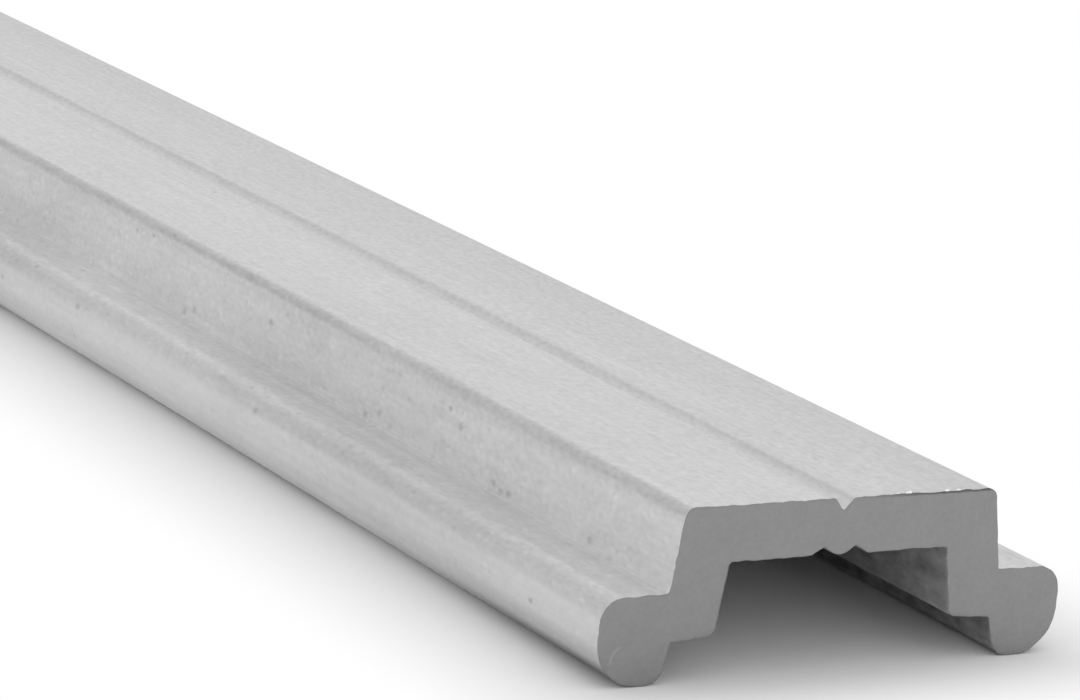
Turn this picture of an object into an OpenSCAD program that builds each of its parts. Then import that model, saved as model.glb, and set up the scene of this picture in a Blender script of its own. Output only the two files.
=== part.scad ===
// Aluminium hat-section extrusion, cut square at both ends and lying on its feet.
// A thick top plate stands on two splayed legs. Each leg ends in a round-edged foot that
// juts outwards as a shelf and downwards as a toe. A vee groove along the top marks the
// drilling line, and a ridge between two notches lies under it on the underside of the plate.
// The length runs along Y, and the floor is at Z = 0.

/* [Stock] */
// Length of the cut piece
stock_l = 1000; // [100:50:6000]

/* [Top plate] */
// Height from the floor to the top face
section_h = 12; // [10.5:0.1:20]
// Width of the top face between its outer corners, taken sharp
top_w = 24.2; // [20:0.2:28]
// Thickness of the plate
plate_t = 3.9; // [2:0.1:6]
// Radius of the plate's outer corners
top_corner_r = 0.9; // [0.2:0.1:3]

/* [Legs] */
// Thickness of a leg, square to its faces
leg_t = 4.1; // [2.5:0.1:6]
// Outward lean of a leg from the vertical, in degrees
leg_lean = 8; // [0:0.5:15]
// Radius where the leg meets the underside of the plate
channel_corner_r = 0.3; // [0.1:0.1:1.5]
// Radius of the leg's lower inner edge
leg_edge_r = 0.6; // [0.2:0.1:1.2]

/* [Feet] */
// Width across both feet
section_w = 36; // [34:0.5:44]
// Height of the shelf on the outer side of a leg
shelf_h = 6.2; // [5.2:0.1:8]
// Radius of the shelf's outer edge
shelf_r = 1.8; // [0.3:0.1:2.8]
// Radius from the outer flank to the bottom of a foot
bulb_r = 3.3; // [1:0.1:3.6]
// Width of a foot where the ledge meets its toe
foot_w = 5.5; // [5.2:0.1:8]
// Height of the ledge at the toe, on the inner side of a leg
ledge_h = 2.9; // [2.2:0.1:4.5]
// Rise of the ledge towards the leg's inner edge, in degrees
ledge_rise = 4; // [0:0.5:10]
// Outward lean of the toe's inner face from the vertical, in degrees
toe_lean = 12; // [0:0.5:13]
// Radius from the toe's inner face to the bottom of a foot
toe_r = 1.5; // [0.5:0.1:1.9]
// Radius in the creases where a foot meets its leg
crease_r = 0.15; // [0.05:0.05:0.5]

/* [Drilling line] */
// Width of the vee groove between its lips, taken sharp
groove_w = 1.5; // [0.8:0.1:4]
// Depth of the vee groove
groove_d = 0.9; // [0.3:0.05:1.5]
// Radius of the groove's lips
groove_lip_r = 0.4; // [0.1:0.05:0.5]
// Radius at the root of the groove
groove_root_r = 0.1; // [0.05:0.05:0.15]

/* [Ridge under the plate] */
// Distance between the roots of the two notches
notch_pitch = 2.5; // [2.1:0.1:4]
// Radius of the ridge's crest, which is level with the underside
ridge_r = 1.3; // [0.6:0.1:1.5]
// Slope of the ridge's flanks, in degrees
ridge_slope = 35; // [30:1:45]
// Slope of the notches' outer flanks, in degrees
notch_slope = 32; // [20:1:45]
// Radius of the notches' roots and outer edges
notch_r = 0.1; // [0.05:0.05:0.15]

/* [Hidden] */
mill_finish = [0.8, 0.8, 0.8];
// A rounded corner is drawn in straight steps. Each turns by arc_turn degrees at most,
// unless that would make it shorter than arc_chord.
arc_turn = 5;
arc_chord = 0.12;

half_w = section_w / 2;
underside_z = section_h - plate_t;
toe_x = half_w - foot_w;
ledge_inner_z = ledge_h + (toe_x - leg_inner_x(ledge_h)) * tan(ledge_rise);
ridge_apex_z = underside_z + ridge_r * (1 - 1 / cos(ridge_slope));
notch_root_z = ridge_apex_z + notch_pitch / 2 * tan(ridge_slope);
notch_outer_x = notch_pitch / 2 + (notch_root_z - underside_z) / tan(notch_slope);

// Where a leg's outer and inner faces lie at a height above the floor
function leg_outer_x(z) = top_w / 2 + (section_h - z) * tan(leg_lean);
function leg_inner_x(z) = leg_outer_x(z) - leg_t / cos(leg_lean);

// Corners of the right half, from the groove's root round the foot to the ridge's crest.
// Each is [x, z, radius].
right_corners = [
    [0, section_h - groove_d, groove_root_r],
    [groove_w / 2, section_h, groove_lip_r],
    [top_w / 2, section_h, top_corner_r],
    [leg_outer_x(shelf_h), shelf_h, crease_r],
    [half_w, shelf_h, shelf_r],
    [half_w, 0, bulb_r],
    [toe_x + ledge_h * tan(toe_lean), 0, toe_r],
    [toe_x, ledge_h, crease_r],
    [leg_inner_x(ledge_inner_z), ledge_inner_z, leg_edge_r],
    [leg_inner_x(underside_z), underside_z, channel_corner_r],
    [notch_outer_x, underside_z, notch_r],
    [notch_pitch / 2, notch_root_z, notch_r],
    [0, ridge_apex_z, ridge_r]
];

// The left half mirrors the right half, without the two corners on the centre line
left_corners = [
    for (i = [len(right_corners) - 2 : -1 : 1])
        [-right_corners[i].x, right_corners[i].y, right_corners[i].z]
];

function unit(v) = v / norm(v);
function flat(corner) = [corner.x, corner.y];

// Points of the arc of radius r that rounds the corner at p between its neighbours a and b
function rounded_corner(a, p, b, r) =
    let (
        to_a = unit(a - p),
        to_b = unit(b - p),
        half_angle = acos(to_a * to_b) / 2,
        centre = p + unit(to_a + to_b) * r / sin(half_angle),
        first = p + to_a * r / tan(half_angle) - centre,
        side = sign(cross(p - a, b - p)),
        turn = side * (180 - 2 * half_angle),
        start = atan2(first.y, first.x),
        arc_l = r * abs(turn) * PI / 180,
        steps = max(2, ceil(min(abs(turn) / arc_turn, arc_l / arc_chord)))
    )
    [for (i = [0 : steps]) centre + r * [cos(start + turn * i / steps), sin(start + turn * i / steps)]];

// Closed outline with every corner rounded to its own radius
function rounded_outline(corners) =
    let (n = len(corners))
    [
        for (i = [0 : n - 1])
            each rounded_corner(
                flat(corners[(i + n - 1) % n]),
                flat(corners[i]),
                flat(corners[(i + 1) % n]),
                corners[i].z
            )
    ];

module section() {
    polygon(rounded_outline(concat(right_corners, left_corners)));
}

module hat_profile() {
    color(mill_finish)
        rotate([90, 0, 0])
            linear_extrude(height = stock_l, center = true)
                section();
}

hat_profile();
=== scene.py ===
import math
from typing import NamedTuple

import bmesh
import bpy
from bpy.props import FloatProperty, FloatVectorProperty, IntProperty, PointerProperty
from mathutils import Euler, Matrix, Vector, noise


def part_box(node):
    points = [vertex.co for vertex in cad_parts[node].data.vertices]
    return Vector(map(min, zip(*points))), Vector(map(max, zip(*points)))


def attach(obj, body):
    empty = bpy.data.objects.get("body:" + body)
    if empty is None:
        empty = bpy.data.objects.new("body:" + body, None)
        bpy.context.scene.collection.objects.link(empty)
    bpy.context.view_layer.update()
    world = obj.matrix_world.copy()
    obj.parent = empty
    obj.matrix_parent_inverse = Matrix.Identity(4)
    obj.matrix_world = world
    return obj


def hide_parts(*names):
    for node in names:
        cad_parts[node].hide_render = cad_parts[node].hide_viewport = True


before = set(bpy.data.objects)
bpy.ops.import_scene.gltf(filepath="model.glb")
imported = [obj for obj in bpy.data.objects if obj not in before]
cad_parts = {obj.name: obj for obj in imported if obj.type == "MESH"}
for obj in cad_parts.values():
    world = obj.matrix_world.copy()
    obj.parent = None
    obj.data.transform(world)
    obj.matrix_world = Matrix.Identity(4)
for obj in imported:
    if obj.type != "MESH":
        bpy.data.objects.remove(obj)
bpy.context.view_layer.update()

bl_info = {
    "name": "Hat-section aluminium bar",
    "version": (1, 0, 0),
    "blender": (4, 5, 0),
    "location": "3D View > Sidebar > Bar",
    "description": "Dresses an extruded and sawn aluminium bar in its mill finish and lights it",
    "category": "Object",
}

NODE = "hat_profile"
BODY = "root"
MM = 0.001
SEED = 7
LOW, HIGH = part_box(NODE)
# Height of the top face and place of the front end, in millimetres
TOP = HIGH.z / MM
FRONT = LOW.y / MM


class Socket:
    """One output of a node. Arithmetic on it adds Math nodes."""

    def __init__(self, graph, socket):
        self.graph = graph
        self.socket = socket

    def math(self, operation, *operands):
        return self.graph.node("ShaderNodeMath", {"operation": operation}, dict(enumerate(operands)))

    def __add__(self, other):
        return self.math("ADD", self, other)

    def __radd__(self, other):
        return self.math("ADD", other, self)

    def __sub__(self, other):
        return self.math("SUBTRACT", self, other)

    def __rsub__(self, other):
        return self.math("SUBTRACT", other, self)

    def __mul__(self, other):
        return self.math("MULTIPLY", self, other)

    def __rmul__(self, other):
        return self.math("MULTIPLY", other, self)

    def __truediv__(self, other):
        return self.math("DIVIDE", self, other)

    def __abs__(self):
        return self.math("ABSOLUTE", self)

    def root(self):
        return self.math("SQRT", self)

    def sign(self):
        return self.math("SIGN", self)

    def at_least(self, limit):
        return self.math("MAXIMUM", self, limit)

    def at_most(self, limit):
        return self.math("MINIMUM", self, limit)

    def step(self, start, end):
        """0 before start, 1 after end and smooth between them. start may be the larger."""
        sockets = {"Value": self, "From Min": start, "From Max": end}
        return self.graph.node("ShaderNodeMapRange", {"interpolation_type": "SMOOTHSTEP"}, sockets)


class Graph:
    """A node tree that is written as expressions."""

    def __init__(self, tree):
        self.tree = tree
        tree.nodes.clear()

    def node(self, kind, settings=None, sockets=None, output=0):
        """Adds a node, sets its settings, then its sockets by name, identifier or number.
        Returns the output that is asked for."""
        node = self.tree.nodes.new(kind)
        for name, value in (settings or {}).items():
            setattr(node, name, value)
        for key, value in (sockets or {}).items():
            target = self.find(node.inputs, key)
            if isinstance(value, Socket):
                self.tree.links.new(value.socket, target)
            else:
                target.default_value = value
        return None if output is None else Socket(self, self.find(node.outputs, output))

    @staticmethod
    def find(sockets, key):
        if isinstance(key, int):
            return sockets[key]
        return next(s for s in sockets if key in (s.identifier, s.name) and s.enabled)

    def place(self, along=1, turn=(0, 0, 0)):
        """Object coordinates in millimetres. They make a pattern longer along the bar, and turn it."""
        where = self.node("ShaderNodeTexCoord", output="Object")
        scale = (1 / MM, 1 / (MM * along), 1 / MM)
        return self.node("ShaderNodeMapping", None, {"Vector": where, "Rotation": turn, "Scale": scale})

    def axes(self, where):
        """The three numbers of a vector."""
        return [self.node("ShaderNodeSeparateXYZ", None, {"Vector": where}, axis) for axis in "XYZ"]

    def clouds(self, size, along=1, detail=2.0, rough=0.5, turn=(0, 0, 0)):
        """Noise from about -1 to 1 with lumps of that size in millimetres."""
        where = self.place(along, turn)
        sockets = {"Vector": where, "Scale": 1 / size, "Detail": detail, "Roughness": rough}
        return self.node("ShaderNodeTexNoise", None, sockets) * 2 - 1

    def dots(self, gap, along):
        """Dots at random, about a gap apart. Returns the distance from the nearest one as a share
        of the gap, and that dot's own random number."""
        sockets = {"Vector": self.place(along), "Scale": 1 / gap, "Randomness": 1.0}
        outputs = ("Distance", "Color")
        return [self.node("ShaderNodeTexVoronoi", None, sockets, output) for output in outputs]

    def tint(self, colour, amount):
        """A colour times one plus amount."""
        settings = {"data_type": "RGBA", "blend_type": "MULTIPLY"}
        sockets = {"Factor_Float": 1.0, "A_Color": (*colour, 1), "B_Color": 1 + amount}
        return self.node("ShaderNodeMix", settings, sockets, "Result_Color")

    def surface(self, shader):
        self.node("ShaderNodeOutputMaterial", None, {"Surface": shader}, None)


class BarSettings(bpy.types.PropertyGroup):
    """Sizes of the bar's own shape that the solid leaves out."""

    ring_gap: FloatProperty(
        name="Ring gap",
        description="Distance between the edge loops along the bar",
        default=25 * MM,
        unit="LENGTH",
    )
    saw_zone: FloatProperty(
        name="Saw zone",
        description="Length at each end whose edges the saw left uneven",
        default=0.5 * MM,
        unit="LENGTH",
    )
    saw_step: FloatProperty(
        name="Saw step",
        description="Distance between the cuts that let the sawn edges wander",
        default=0.35 * MM,
        unit="LENGTH",
    )
    saw_wander: FloatProperty(
        name="Saw wander",
        description="How far the sawn edges stray from their line",
        default=0.08 * MM,
        unit="LENGTH",
    )
    saw_tooth: FloatProperty(
        name="Saw tooth",
        description="Length of the waves in the sawn edges",
        default=0.7 * MM,
        unit="LENGTH",
    )
    arris: FloatProperty(
        name="Arris",
        description="Width of the broken edge round a sawn end",
        default=0.06 * MM,
        unit="LENGTH",
    )
    smooth_angle: FloatProperty(
        name="Smooth angle",
        description="Edges that turn by less than this are shaded smooth",
        default=math.radians(35),
        subtype="ANGLE",
    )


class BurrSettings(bpy.types.PropertyGroup):
    """Sizes of the torn chips that the saw left on the top edge of each end."""

    thickness: FloatProperty(
        name="Thickness",
        description="Thickness of a chip, and its distance behind the sawn face",
        default=0.08 * MM,
        unit="LENGTH",
    )
    lean: FloatProperty(
        name="Lean",
        description="Lean of a chip out to the sawn face",
        default=math.radians(20),
        subtype="ANGLE",
    )
    tear: FloatProperty(
        name="Tear",
        description="Size of the teeth on a chip's torn edge",
        default=0.15 * MM,
        unit="LENGTH",
    )
    ragged: FloatProperty(
        name="Raggedness",
        description="Depth of the teeth as a share of a chip's height",
        default=0.35,
        subtype="FACTOR",
    )
    detail: IntProperty(
        name="Detail",
        description="Number of times that a chip's faces are divided",
        default=3,
        min=1,
    )


class FinishSettings(bpy.types.PropertyGroup):
    """Colours, gloss and relief of the bar's surfaces."""

    mill_colour: FloatVectorProperty(
        name="Mill finish",
        description="Colour of the extruded faces",
        default=(0.69, 0.69, 0.69),
        subtype="COLOR",
    )
    mill_roughness: FloatProperty(
        name="Mill roughness",
        description="Roughness of the extruded faces",
        default=0.6,
        subtype="FACTOR",
    )
    sawn_colour: FloatVectorProperty(
        name="Sawn end",
        description="Colour of the sawn faces",
        default=(0.32, 0.32, 0.32),
        subtype="COLOR",
    )
    sawn_roughness: FloatProperty(
        name="Sawn roughness",
        description="Roughness of the sawn faces",
        default=0.55,
        subtype="FACTOR",
    )
    burr_colour: FloatVectorProperty(
        name="Burr",
        description="Colour of the bright metal in the saw burr",
        default=(0.9, 0.9, 0.9),
        subtype="COLOR",
    )
    burr_roughness: FloatProperty(
        name="Burr roughness",
        description="Roughness of the saw burr",
        default=0.32,
        subtype="FACTOR",
    )
    relief: FloatProperty(
        name="Relief",
        description="Depth of a surface's fine relief",
        default=0.004 * MM,
        unit="LENGTH",
    )


class StageSettings(bpy.types.PropertyGroup):
    """Floor, light and camera."""

    floor_colour: FloatVectorProperty(
        name="Floor",
        description="Colour of the floor",
        default=(0.95, 0.95, 0.95),
        subtype="COLOR",
    )
    floor_size: FloatProperty(
        name="Floor size",
        description="Side of the square floor",
        default=60.0,
        unit="LENGTH",
    )
    shadow_reach: FloatProperty(
        name="Shadow reach",
        description="Distance from the bar at which the floor is plain white",
        default=14 * MM,
        unit="LENGTH",
    )
    horizon_light: FloatProperty(
        name="Horizon",
        description="Brightness of the surroundings at the horizon",
        default=0.95,
    )
    zenith_light: FloatProperty(
        name="Zenith",
        description="Brightness of the surroundings overhead",
        default=0.72,
    )
    lamp_light: FloatProperty(
        name="Lamp",
        description="Strength of the soft lamp overhead",
        default=0.35,
    )
    lamp_spread: FloatProperty(
        name="Lamp spread",
        description="Width of the soft lamp as seen from the bar",
        default=math.radians(90),
        subtype="ANGLE",
    )
    lamp_from: FloatVectorProperty(
        name="Lamp from",
        description="Direction in which the soft lamp stands",
        default=(0.25, 0.35, 0.9),
        subtype="DIRECTION",
    )
    camera_place: FloatVectorProperty(
        name="Camera place",
        description="Camera's place, from the middle of the top edge of the front end",
        default=(-173.4 * MM, -265.2 * MM, 83.6 * MM),
        subtype="TRANSLATION",
    )
    camera_turn: FloatVectorProperty(
        name="Camera turn",
        description="Camera's rotation",
        default=(math.radians(76.57), math.radians(-4.54), math.radians(-28.30)),
        subtype="EULER",
    )
    camera_lens: FloatProperty(
        name="Lens",
        description="Focal length of the camera",
        default=164.4,
        unit="CAMERA",
    )


def new_material(name):
    material = bpy.data.materials.new(name)
    material.use_nodes = True
    return material, Graph(material.node_tree)


def metal(graph, colour, roughness, height, depth):
    """Bare metal whose relief is height times depth."""
    bump = graph.node("ShaderNodeBump", None, {"Height": height, "Distance": depth, "Strength": 1.0})
    sockets = {"Base Color": colour, "Roughness": roughness, "Metallic": 1.0, "Normal": bump}
    return graph.node("ShaderNodeBsdfPrincipled", None, sockets)


# Share of a line's reach from its middle within which it is at full strength
CORE = 0.3


def distance(point, place):
    """Distance between a point and a place that have the same coordinates."""
    offsets = [a - b for a, b in zip(point, place)]
    return sum(offset * offset for offset in offsets).root()


def near(point, place, reach):
    """1 at a place, falling to 0 at a distance from it."""
    return distance(point, place).step(reach, CORE * reach)


class Pattern(NamedTuple):
    """A noise pattern of the mill finish.

    size: of its lumps, in millimetres
    along: how many times longer they are along the bar
    detail, rough: of the noise
    top, flank: share by which it lightens or darkens the top face and the flanks
    matt: what it adds to the roughness
    relief: its height, as a multiple of the relief's depth
    """

    size: float
    along: float
    detail: float = 2
    rough: float = 0.5
    top: float = 0
    flank: float = 0
    matt: float = 0
    relief: float = 0


PATTERNS = {
    "grain": Pattern(size=0.35, along=2, detail=1, top=0.13, flank=0.09, relief=0.3),
    "mottle": Pattern(size=1, along=2, rough=0.6, top=0.04, flank=0.07, relief=0.3),
    "cloud": Pattern(size=8, along=2.5, detail=3, rough=0.55, top=0.12, flank=0.12, matt=0.08, relief=2),
    "haze": Pattern(size=20, along=1.5, detail=1, flank=0.08),
    "streaks": Pattern(size=0.6, along=50, rough=0.6, top=0.08, flank=0.08, matt=0.05),
    "die_lines": Pattern(size=0.6, along=400, detail=3, rough=0.6, top=0.04, flank=0.04, relief=0.35),
}
# Patterns that are weaker low down on the feet, as the flecks are, and how much weaker
FINE_PATTERNS = ("grain", "mottle")
FOOT_SMOOTHNESS = 0.5
# Heights above the floor, in millimetres, between which these parts of the section begin
FLANK = (TOP - 0.5, TOP - 1.5)
TOP_FACE = (TOP - 0.4, TOP - 0.1)
FOOT_SMOOTH = (5.8, 4.6)
FOOT_SIDE = (5.4, 4.8)
FOOT_LOW = (2.8, 1.4)
# Distances to the right, in millimetres, between which the top's painted shade and its painted light
# begin
SHADED_HALF = (1.0, 11.5)
LIGHT_HALF = (-0.5, -2.5)
# Distance between the flecks in millimetres, their rim and middle as shares of it, and their strength
FLECK_GAP = 0.5
FLECK_RIM = (0.6, 0.05)
FLECK_SHADE = 0.12


def mill_finish(settings):
    """Satin extruded face: grain, flecks, die lines along the length, clouds and pits, with painted
    shade and painted light along lines, on the top, in the channel and low near the front end.
    """
    material, graph = new_material("mill_finish")
    x, y, z = graph.axes(graph.place())
    flank = z.step(*FLANK)
    noises = {name: graph.clouds(p.size, p.along, p.detail, p.rough) for name, p in PATTERNS.items()}
    shades = {name: between(p.top, p.flank, flank) * noises[name] for name, p in PATTERNS.items()}
    fine = sum(shades.pop(name) for name in FINE_PATTERNS) + FLECK_SHADE * flank * flecks(graph)
    light = (1 - FOOT_SMOOTHNESS * z.step(*FOOT_SMOOTH)) * fine + sum(shades.values())
    mottle, cloud = noises["mottle"], noises["cloud"]
    # Painted shade, with painted light where it is negative, along lines, on the top's halves, in the
    # channel and low near the front end
    dark = (painted_shade_lines(graph, x, z, mottle, cloud) + painted_face_shade(x, z, mottle, cloud)
            + channel_painted_shade(graph, x, z) + painted_low_shade_at_front(x, y, z))
    pits = pit_mask(graph, x, y, z, flank)
    colour = graph.tint(settings.mill_colour, light - dark - PIT_SHADE * pits)
    roughness = settings.mill_roughness + weighed(noises, "matt") + PIT_MATT * pits
    height = weighed(noises, "relief") - PIT_DEPTH * pits
    graph.surface(metal(graph, colour, roughness, height, settings.relief))
    return material


def between(start, end, mask):
    """start where the mask is 0 and end where it is 1."""
    return start if start == end else start + (end - start) * mask


def weighed(noises, field):
    """Sum of the patterns' noises, each times that field of its pattern."""
    weights = {name: getattr(PATTERNS[name], field) for name in noises}
    return sum(weight * noises[name] for name, weight in weights.items() if weight)


def flecks(graph):
    """Soft dots, from -1 for a dark one to 1 for a light one."""
    from_middle, chance = graph.dots(FLECK_GAP, along=2)
    return (2 * chance - 1) * from_middle.step(*FLECK_RIM)


class Line(NamedTuple):
    """A line of painted shade along the bar, the same on both sides, or of painted light where its shade
    is negative.

    place: on the section
    reach: distance from there, in millimetres, at which it has faded away
    shade: share of the colour that it takes away
    mottle, wander, cloud: what those noises add to its shade
    stray: how far the wander takes it up and down, in millimetres
    fray: what the wander adds to its reach
    """

    place: tuple
    reach: float
    shade: float = 0
    mottle: float = 0
    wander: float = 0
    cloud: float = 0
    stray: float = 0
    fray: float = 0


# Places on the section, in millimetres: distance from the centre plane and height above the floor
GROOVE = (0, 11.4)
TOP_CORNER = (11.95, 11.7)
FOOT_CREASE = (12.9, 6.2)
SHELF_MIDDLE = (13.9, 6.2)
SHELF_BEND = (16.3, 6.2)
SHELF_EDGE = (17.5, 5.55)
# Painted shade along the top corner, beside the groove, along the shelf's edge and in a thin line in the
# crease; painted light along the groove, around the crease and on the shelf's middle
PAINTED_SHADE_LINES = (
    Line(TOP_CORNER, reach=0.68, shade=0.16, mottle=0.1, wander=0.1, cloud=0.06, stray=0.12, fray=0.25),
    Line(GROOVE, reach=1.8, shade=0.05, mottle=0.03, cloud=0.2),
    Line(GROOVE, reach=0.9, shade=-0.14),
    Line(SHELF_EDGE, reach=1.1, shade=0.11, mottle=0.12, stray=0.12),
    Line(SHELF_BEND, reach=0.6, mottle=-0.06, stray=0.12),
    Line(FOOT_CREASE, reach=0.22, shade=0.11),
    Line(FOOT_CREASE, reach=0.8, shade=-0.05),
    Line(SHELF_MIDDLE, reach=1.9, shade=-0.05),
)


def painted_shade_lines(graph, x, z, mottle, cloud):
    """Painted shade in blotchy lines along the corners and the shelves' edges, and painted light between
    them.
    """
    wander = graph.clouds(size=0.8, along=12)
    return sum(line_shade(line, abs(x), z, mottle, wander, cloud) for line in PAINTED_SHADE_LINES)


def line_shade(line, aside, z, mottle, wander, cloud):
    """How much one line of painted shade darkens the finish, or its painted light lightens it."""
    parts = ((line.mottle, mottle), (line.wander, wander), (line.cloud, cloud))
    shade = line.shade + sum(share * pattern for share, pattern in parts if share)
    height = z + line.stray * wander if line.stray else z
    reach = line.reach + line.fray * wander if line.fray else line.reach
    return shade * near((aside, height), line.place, reach)


def painted_face_shade(x, z, mottle, cloud):
    """Painted shade on the right half of the top and painted light on its left half, and the sides of
    the feet a little darker lower down and blotchy at their bottoms.
    """
    shaded_half = (0.05 + 0.1 * cloud + 0.04 * mottle) * x.step(*SHADED_HALF)
    light_half = 0.025 * x.step(*LIGHT_HALF)
    foot = 0.02 * z.step(*FOOT_SIDE) + (0.06 * mottle - 0.02) * z.step(*FOOT_LOW)
    return (shaded_half - light_half) * z.step(*TOP_FACE) + foot


# Line through the middle of a leg, in millimetres: how far from the centre plane it meets the floor, and
# how much nearer it comes with each millimetre of height
LEG_FOOT = 13.5
LEG_LEAN = 0.24
# Distance inwards from that line, in millimetres, at which the channel's faces have fully begun
LEG_BLUR = 0.3
# Heights above the floor, in millimetres, between which the channel and the stronger painted shade low
# in it begin
CHANNEL = (9.0, 8.2)
CHANNEL_SHADE_LOW = (4.0, 2.5)
# Length along the bar of the painted shade low on the feet, and the heights between which its pale edge
# and its dark part begin, in millimetres
LOW_SHADE_LENGTH = 37
LOW_SHADE_EDGE = (3.2, 2.0)
LOW_SHADE_DARK = (1.9, 0.7)


def inside(x, z):
    """1 on the faces of the channel between the legs."""
    leg_middle = LEG_FOOT - LEG_LEAN * z
    return (leg_middle - abs(x)).step(0, LEG_BLUR) * z.step(*CHANNEL)


def channel_painted_shade(graph, x, z):
    """Painted shade on the faces of the channel, strongest low down, with dark blotches."""
    blotches = graph.clouds(size=1.3, along=2, detail=3, rough=0.6)
    return inside(x, z) * (0.12 + 0.3 * z.step(*CHANNEL_SHADE_LOW) + 0.55 * blotches)


def painted_low_shade_at_front(x, y, z):
    """Painted shade low on the outer flanks of the feet, close to the front end."""
    close = y.step(FRONT + LOW_SHADE_LENGTH, FRONT)
    return (1 - inside(x, z)) * close * (0.16 * z.step(*LOW_SHADE_EDGE) + 0.48 * z.step(*LOW_SHADE_DARK))


# Pits on the left side, in millimetres across, along and up from the bar's middle on the floor
PITS = (
    (-17.9, -413.5, 5.0),
    (-12.8, -422.8, 6.6),
    (-12.7, -424.5, 7.1),
    (-12.5, -437.6, 9.3),
    (-17.9, -447.0, 5.1),
    (-12.8, -455.0, 6.6),
    (-12.7, -457.0, 7.2),
    (-12.5, -469.0, 9.4),
    (-12.8, -475.0, 6.9),
    (-12.8, -476.2, 6.6),
    (-12.8, -477.3, 6.7),
    (-12.8, -489.0, 6.7),
)
# Length of a pit along the bar as a multiple of its height
PIT_LENGTH = 1.4
# Distances from a pit's middle to its rim and its floor, in millimetres, and how ragged the rim is
PIT_RIM = (0.42, 0.02)
PIT_RAGGED = 0.2
# Distance between the places where a speck may be, in millimetres, and the random numbers between which
# a place begins to have one
SPECK_GAP = 1.2
SPECK_CHANCE = (0.94, 1.0)
# Distances from a speck's middle to its rim and its floor as shares of the gap, and how ragged it is
SPECK_RIM = (0.26, 0.06)
SPECK_RAGGED = 0.1
# What a pit takes from the colour, adds to the roughness and takes from the relief
PIT_SHADE = 0.18
PIT_MATT = 0.1
PIT_DEPTH = 4.0


def pit_mask(graph, x, y, z, flank):
    """Placed pits, and specks in loose clusters, mostly on the flanks: 1 inside one of them."""
    ragged = graph.clouds(size=0.25)
    cluster = graph.clouds(size=6, along=1.5, detail=1)
    from_middle, chance = graph.dots(SPECK_GAP, along=PIT_LENGTH)
    rare = (chance + 0.25 * cluster + 0.1 * flank).step(*SPECK_CHANCE)
    specks = (from_middle + SPECK_RAGGED * ragged).step(*SPECK_RIM) * rare
    point = (x, y / PIT_LENGTH, z)
    places = [(across, along / PIT_LENGTH, up) for across, along, up in PITS]
    pits = sum((distance(point, place) + PIT_RAGGED * ragged).step(*PIT_RIM) for place in places)
    return specks + pits


# Circle on the section, in millimetres, that the scratch on the left foot lies on
SCRATCH_CENTRE = (-15.9, 1.86)
SCRATCH_RADIUS = 1.04
# Distances from that circle at which the scratch begins and has its full strength
SCRATCH_RIM = (0.15, 0.03)
# Distances to the right of the circle's centre, and above it, between which the scratch begins
SCRATCH_LEFT = (-0.2, -0.5)
SCRATCH_UP = (-0.3, 0.0)
# Places along the bar, in millimetres, between which its front half begins
FRONT_HALF = (0, -1)
# Heights above the floor, in millimetres, between which the painted shadow under the top edge begins
EDGE_LINE = (TOP - 0.22, TOP - 0.08)
# Distances from the centre plane, in millimetres, between which that line begins, and how ragged it is
EDGE_LINE_START = (0.5, 8)
EDGE_RAGGED = 0.06
# Turn of the patches' noise, so that its lumps don't fall on those of the dark line
PATCH_TURN = (0, math.radians(-28), 0)


def scratch_mask(x, y, z):
    """A light curved scratch on one foot of the front end."""
    line = abs(distance((x, z), SCRATCH_CENTRE) - SCRATCH_RADIUS).step(*SCRATCH_RIM)
    across = x - SCRATCH_CENTRE[0]
    up = z - SCRATCH_CENTRE[1]
    return line * across.step(*SCRATCH_LEFT) * up.step(*SCRATCH_UP) * y.step(*FRONT_HALF)


def edge_shade(graph, x, y, z):
    """Painted shadow under one half of the top edge, turned round at the other end."""
    ragged = graph.clouds(size=0.5)
    along = -1 * x * y.sign()
    return (z + EDGE_RAGGED * ragged).step(*EDGE_LINE) * along.step(*EDGE_LINE_START)


def sawn_face(settings):
    """Dull sawn face with grain, faint patches, a scratch, and painted shadow along part of its top
    edge.
    """
    material, graph = new_material("sawn_face")
    x, y, z = graph.axes(graph.place())
    patches = graph.clouds(size=0.5, turn=PATCH_TURN)
    grain = graph.clouds(size=0.3)
    cloud = graph.clouds(size=1.8)
    # The scratch is wear on the metal; the dark line under the top edge is painted shadow
    marks = 0.17 * scratch_mask(x, y, z) - 0.5 * edge_shade(graph, x, y, z)
    colour = graph.tint(settings.sawn_colour, 0.03 * patches + 0.12 * grain + 0.05 * cloud + marks)
    roughness = settings.sawn_roughness + 0.05 * grain
    height = 0.3 * patches + 0.4 * grain
    graph.surface(metal(graph, colour, roughness, height, settings.relief))
    return material


def burr_metal(settings):
    """Bright torn metal of the saw burr."""
    material, graph = new_material("burr_metal")
    grain = graph.clouds(size=0.12)
    colour = graph.tint(settings.burr_colour, 0.12 * grain)
    roughness = settings.burr_roughness + 0.08 * grain
    graph.surface(metal(graph, colour, roughness, grain, settings.relief))
    return material


def add_piece(name, bm, *materials):
    """Turns a bmesh into a piece of the object that stands in the scene."""
    mesh = bpy.data.meshes.new(name)
    bm.to_mesh(mesh)
    bm.free()
    for material in materials:
        mesh.materials.append(material)
    piece = bpy.data.objects.new(name, mesh)
    bpy.context.scene.collection.objects.link(piece)
    return piece


# Points closer than this are one point
WELD = 0.002 * MM
# A cut goes through the points that lie this close to its plane
CUT_SNAP = 0.0001 * MM
# Faces that turn by less than this are one flat
FLAT_TURN = math.radians(0.5)
# A face whose normal points along the bar by more than this is an end, or has the sawn finish
END_NORMAL = 0.99
SAWN_NORMAL = 0.3
# Share of the saw zone, on its inner side, that stays straight
STRAIGHT_SHARE = 0.25


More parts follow.
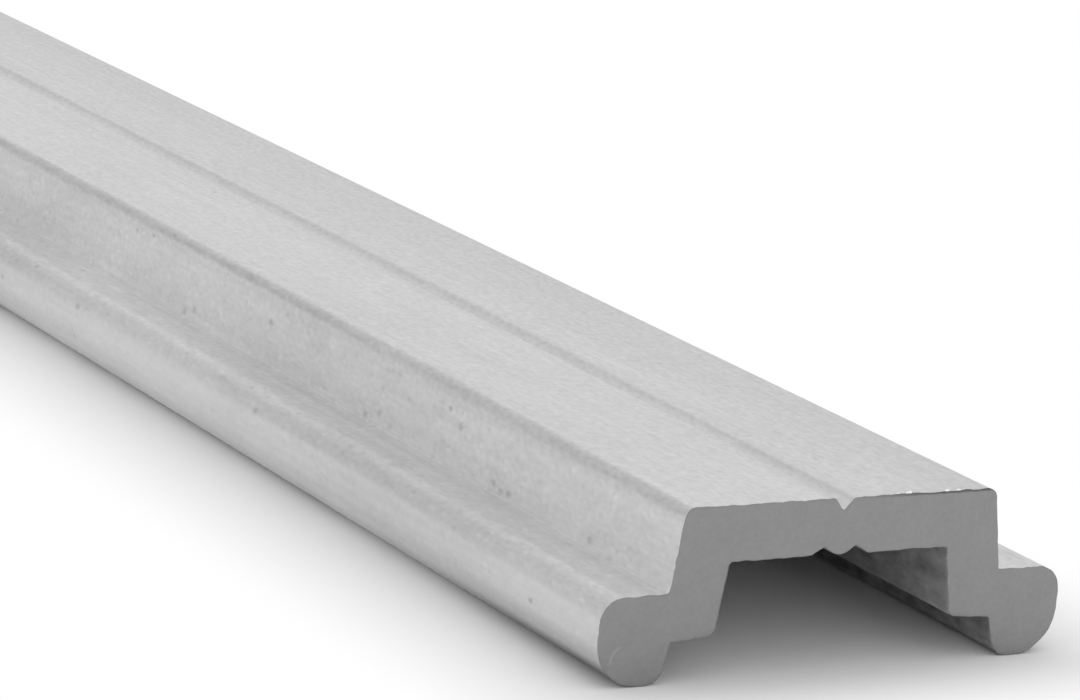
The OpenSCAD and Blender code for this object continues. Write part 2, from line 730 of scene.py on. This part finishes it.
def merged_copy(node):
    """The solid's mesh as one closed skin with a single face on each flat."""
    bm = bmesh.new()
    bm.from_mesh(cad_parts[node].data)
    bmesh.ops.remove_doubles(bm, verts=bm.verts, dist=WELD)
    bmesh.ops.dissolve_limit(bm, angle_limit=FLAT_TURN, verts=bm.verts, edges=bm.edges)
    return bm


def cut(bm, place, normal, faces=None):
    """Adds an edge loop where a plane crosses the faces, or the whole mesh."""
    faces = list(bm.faces) if faces is None else faces
    edges = dict.fromkeys(e for f in faces for e in f.edges)
    verts = dict.fromkeys(v for f in faces for v in f.verts)
    geometry = [*verts, *edges, *faces]
    bmesh.ops.bisect_plane(bm, geom=geometry, dist=CUT_SNAP, plane_co=place, plane_no=normal)


def spaced(low, high, gap):
    """Places strictly between low and high, at most gap apart."""
    count = math.ceil((high - low) / gap)
    return [low + (high - low) * i / count for i in range(1, count)]


def is_end(face):
    return abs(face.normal.y) > END_NORMAL


def rough_ends(bm, settings):
    """Breaks the sawn edges and lets them wander a little."""
    saw_line = HIGH.y - settings.saw_zone
    for side in (-1, 1):
        cut(bm, (0, side * saw_line, 0), (0, 1, 0))
    rim = [e for e in bm.edges if sum(is_end(f) for f in e.link_faces) == 1]
    bmesh.ops.bevel(bm, geom=rim, offset=settings.arris, offset_type="OFFSET", segments=2, profile=0.5,
                    affect="EDGES", material=-1, clamp_overlap=True)
    for axis, normal in ((0, (1, 0, 0)), (2, (0, 0, 1))):
        for place in spaced(LOW[axis], HIGH[axis], settings.saw_step):
            zone = [f for f in bm.faces if abs(f.calc_center_median().y) > saw_line]
            cut(bm, Vector(normal) * place, normal, zone)
    bmesh.ops.dissolve_degenerate(bm, edges=bm.edges, dist=WELD)
    noise.seed_set(SEED)
    for vert in bm.verts:
        if abs(vert.co.y) > saw_line + STRAIGHT_SHARE * settings.saw_zone:
            stray = noise.noise_vector(vert.co / settings.saw_tooth)
            vert.co += settings.saw_wander * Vector((stray.x, 0, stray.z))
            vert.co.z = max(vert.co.z, LOW.z)


class BAR_OT_extruded_bar(bpy.types.Operator):
    """Makes the bar from the solid, with broken sawn edges and smooth rounds"""

    bl_idname = "bar.extruded_bar"
    bl_label = "Extruded bar"

    def execute(self, context):
        settings = context.scene.bar
        finish = context.scene.bar_finish
        bm = merged_copy(NODE)
        for place in spaced(LOW.y, HIGH.y, settings.ring_gap):
            cut(bm, (0, place, 0), (0, 1, 0))
        rough_ends(bm, settings)
        bm.normal_update()
        for face in bm.faces:
            face.smooth = True
            face.material_index = 1 if abs(face.normal.y) > SAWN_NORMAL else 0
        bar = add_piece("extruded_bar", bm, mill_finish(finish), sawn_face(finish))
        bar.data.set_sharp_from_angle(angle=settings.smooth_angle)
        flats = bar.modifiers.new("even_flats", "WEIGHTED_NORMAL")
        flats.keep_sharp = True
        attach(bar, BODY)
        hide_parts(NODE)
        return {"FINISHED"}


class Chip(NamedTuple):
    """A chip of the saw burr, in millimetres: its distance from the centre plane, its width, and its
    height above the top face."""

    aside: float
    width: float
    height: float


CHIPS = (
    Chip(aside=4.2, width=0.6, height=0.1),
    Chip(aside=5.0, width=0.6, height=0.26),
    Chip(aside=8.1, width=0.45, height=0.16),
    Chip(aside=9.0, width=0.4, height=0.12),
)


class BAR_OT_saw_burr(bpy.types.Operator):
    """Makes the torn chips of metal on the top edge of each sawn end"""

    bl_idname = "bar.saw_burr"
    bl_label = "Saw burr"

    def execute(self, context):
        settings = context.scene.bar_burr
        noise.seed_set(SEED)
        bm = bmesh.new()
        for turn in (0, math.pi):
            for chip in CHIPS:
                self.chip(bm, Matrix.Rotation(turn, 4, "Z"), settings, *(MM * size for size in chip))
        burr = add_piece("saw_burr", bm, burr_metal(context.scene.bar_finish))
        burr.data.shade_smooth()
        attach(burr, BODY)
        return {"FINISHED"}

    def chip(self, bm, end, settings, aside, width, height):
        """One ragged flake that leans out to the sawn face, with its lower half in the metal."""
        shape = Matrix.Diagonal((width / 2, settings.thickness / 2, height, 1))
        lean = Matrix.Rotation(settings.lean, 4, "X")
        place = Matrix.Translation((aside, LOW.y + settings.thickness, HIGH.z)) @ lean @ shape
        ball = bmesh.ops.create_icosphere(bm, subdivisions=settings.detail, radius=1, matrix=place)
        flake = ball["verts"]
        for vert in flake:
            torn = noise.noise_vector(vert.co / settings.tear)
            vert.co += settings.ragged * height * torn
        bmesh.ops.transform(bm, matrix=end, verts=flake)


# Heights on a sphere of radius 1 between which the surroundings go from dim to bright
SKY_FALL = (0.55, 0.2)
# Width of the camera's sensor in millimetres, and the nearest distance that it sees
SENSOR_WIDTH = 36
CLIP_START = 10 * MM


class BAR_OT_stage(bpy.types.Operator):
    """Makes the floor, the light and the camera"""

    bl_idname = "bar.stage"
    bl_label = "Stage"

    def execute(self, context):
        settings = context.scene.bar_stage
        self.floor(settings)
        self.surroundings(context.scene, settings)
        self.lamp(context.scene, settings)
        self.camera(context.scene, settings)
        context.scene.view_settings.view_transform = "Standard"
        return {"FINISHED"}

    def floor(self, settings):
        """Pale floor that is white to the eye, apart from the bar's shadow."""
        material, graph = new_material("floor")
        speckle = graph.clouds(size=40)
        colour = graph.tint(settings.floor_colour, 0.003 * speckle)
        paper = graph.node("ShaderNodeBsdfDiffuse", None, {"Color": colour})
        white = graph.node("ShaderNodeEmission", None, {"Color": (1, 1, 1, 1), "Strength": 1.0})
        whiten = self.seen(graph) * self.away(graph).step(0, settings.shadow_reach / MM)
        graph.surface(graph.node("ShaderNodeMixShader", None, {0: whiten, 1: paper, 2: white}))
        bm = bmesh.new()
        bmesh.ops.create_grid(bm, x_segments=1, y_segments=1, size=settings.floor_size / 2)
        floor = add_piece("floor", bm, material)
        floor.location.z = LOW.z

    def seen(self, graph):
        """1 where the camera sees the floor, also in metal or through glass."""
        rays = ("Is Camera Ray", "Is Glossy Ray", "Is Transmission Ray")
        return sum(graph.node("ShaderNodeLightPath", output=ray) for ray in rays).at_most(1)

    def away(self, graph):
        """Distance from the bar's outline on the floor, in millimetres."""
        x, y, _ = graph.axes(graph.place())
        beside = (abs(x) - HIGH.x / MM).at_least(0)
        beyond = (abs(y) - HIGH.y / MM).at_least(0)
        return distance((beside, beyond), (0, 0))

    def surroundings(self, scene, settings):
        """White at the horizon and dimmer overhead."""
        world = bpy.data.worlds.new("surroundings")
        world.use_nodes = True
        scene.world = world
        graph = Graph(world.node_tree)
        direction = graph.node("ShaderNodeTexCoord", output="Generated")
        up = graph.node("ShaderNodeSeparateXYZ", None, {"Vector": direction}, "Z")
        strength = between(settings.zenith_light, settings.horizon_light, up.step(*SKY_FALL))
        light = graph.node("ShaderNodeBackground", None, {"Color": (1, 1, 1, 1), "Strength": strength})
        graph.node("ShaderNodeOutputWorld", None, {"Surface": light}, None)

    def lamp(self, scene, settings):
        data = bpy.data.lights.new("soft_lamp", "SUN")
        data.energy = settings.lamp_light
        data.angle = settings.lamp_spread
        lamp = bpy.data.objects.new("soft_lamp", data)
        lamp.rotation_euler = Vector(settings.lamp_from).to_track_quat("Z", "Y").to_euler()
        scene.collection.objects.link(lamp)

    def camera(self, scene, settings):
        data = bpy.data.cameras.new("camera")
        data.sensor_width = SENSOR_WIDTH
        data.lens = settings.camera_lens
        data.clip_start = CLIP_START
        data.clip_end = 2 * settings.floor_size
        camera = bpy.data.objects.new("camera", data)
        front_edge = Vector((0, LOW.y, HIGH.z))
        camera.location = front_edge + Vector(settings.camera_place)
        camera.rotation_euler = Euler(settings.camera_turn)
        scene.collection.objects.link(camera)
        scene.camera = camera


class BAR_PT_sidebar(bpy.types.Panel):
    """Lists the pieces of the bar and their settings"""

    bl_label = "Hat-section bar"
    bl_idname = "BAR_PT_sidebar"
    bl_space_type = "VIEW_3D"
    bl_region_type = "UI"
    bl_category = "Bar"

    def draw(self, context):
        for name, group in SETTINGS.items():
            box = self.layout.box()
            box.label(text=group.__doc__)
            for key in group.__annotations__:
                box.prop(getattr(context.scene, name), key)
        for operator in OPERATORS:
            self.layout.operator(operator.bl_idname)


SETTINGS = {
    "bar": BarSettings,
    "bar_burr": BurrSettings,
    "bar_finish": FinishSettings,
    "bar_stage": StageSettings,
}
OPERATORS = (BAR_OT_extruded_bar, BAR_OT_saw_burr, BAR_OT_stage)
CLASSES = (*SETTINGS.values(), *OPERATORS, BAR_PT_sidebar)


def register():
    for cls in CLASSES:
        bpy.utils.register_class(cls)
    for name, group in SETTINGS.items():
        setattr(bpy.types.Scene, name, PointerProperty(type=group))


def unregister():
    for name in SETTINGS:
        delattr(bpy.types.Scene, name)
    for cls in reversed(CLASSES):
        bpy.utils.unregister_class(cls)


def main():
    register()
    bpy.ops.bar.extruded_bar()
    bpy.ops.bar.saw_burr()
    bpy.ops.bar.stage()


if __name__ == "__main__":
    main()
